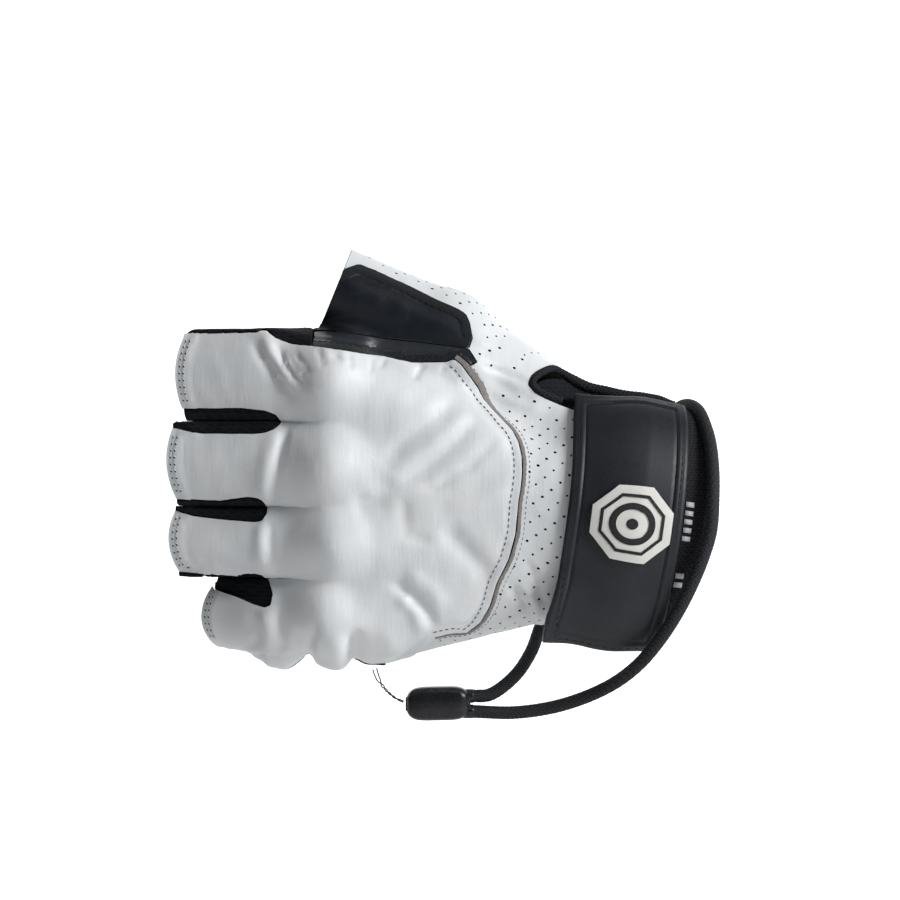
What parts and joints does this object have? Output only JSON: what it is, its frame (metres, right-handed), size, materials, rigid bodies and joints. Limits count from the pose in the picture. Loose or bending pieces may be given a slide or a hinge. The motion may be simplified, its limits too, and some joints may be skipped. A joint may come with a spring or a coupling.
{
  "type": "fingerless leather glove",
  "caption": "Left half-finger glove of white leather with black gussets, a thumb patch, perforated cuff back, wide wrist strap and a corded wrist leash, in its worn form.",
  "frame": {"origin": "centre of the cuff's opening, where the wrist goes in", "axes": "+X from the fingers towards the forearm, +Z towards the thumb side, -Y out of the back of the hand"},
  "size_m": [0.1592, 0.0608, 0.138],
  "materials": {
    "white_leather": "smooth white leather, softly creased",
    "perforated_leather": "white leather with rows of small holes",
    "black_leather": "black grained leather",
    "black_stretch": "black stretch knit",
    "raw_edge": "raw suede cut edge",
    "strap_leather": "charcoal synthetic leather with a sewn border",
    "black_binding": "black rolled knit binding",
    "pale_rubber": "pale moulded rubber",
    "braided_cord": "black braided cord",
    "black_plastic": "black glossy plastic"
  },
  "bodies": {
    "root": {"back_panel": "white_leather", "wrist_panel": "perforated_leather", "palm_panel": "black_leather", "thumb_patch": "black_leather", "index_side": "black_stretch", "fourchette_1": "black_stretch", "fourchette_2": "black_stretch", "fourchette_3": "black_stretch", "slit_gusset": "black_stretch", "back_edge": "raw_edge", "wrist_strap": "strap_leather", "cuff_tape": "black_binding", "slit_binding": "black_binding", "leash_tab": "black_binding", "leash_slider": "black_plastic", "strap_badge": "pale_rubber", "leash_cord": "braided_cord", "leash_string": "braided_cord"}
  },
  "joints": []
}
